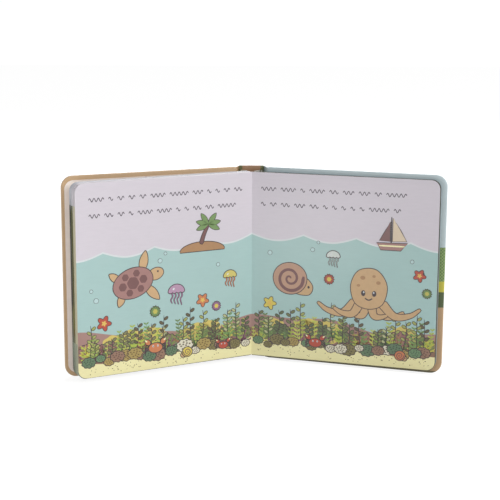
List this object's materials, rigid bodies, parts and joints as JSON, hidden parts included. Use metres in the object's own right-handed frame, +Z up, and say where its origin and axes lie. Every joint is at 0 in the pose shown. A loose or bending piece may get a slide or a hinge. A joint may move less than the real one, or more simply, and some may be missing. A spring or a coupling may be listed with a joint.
{
  "type": "board book",
  "caption": "Square padded board book standing open on its foot, with thick rounded leaves and two covers hinged at the spine.",
  "frame": {"origin": "on the ground under the middle of the open book's box", "axes": "+Z up along the spine, +X along the spread from the left page to the right page, -Y the side that the open pages face"},
  "size_m": [0.3842, 0.111, 0.205],
  "materials": {
    "leaves": "coated print on white board",
    "cover_wrap": "laminated print",
    "endpaper": "coated print"
  },
  "bodies": {
    "leaves_and_spine": {"page_block": "leaves", "spine": "cover_wrap"},
    "front_cover": {"front_cover": "cover_wrap", "front_endpaper": "endpaper"},
    "back_cover": {"back_cover": "cover_wrap", "back_endpaper": "endpaper"}
  },
  "joints": [
    {"name": "front_cover_hinge", "type": "hinge", "parent": "leaves_and_spine", "child": "front_cover", "pos_m": [-0.01767, 0.05324, 0.1025], "axis": [0, 0, -1], "range_deg": [0, 118]},
    {"name": "back_cover_hinge", "type": "hinge", "parent": "leaves_and_spine", "child": "back_cover", "pos_m": [0.00993, 0.05324, 0.1025], "axis": [0, 0, 1], "range_deg": [0, 110]}
  ]
}
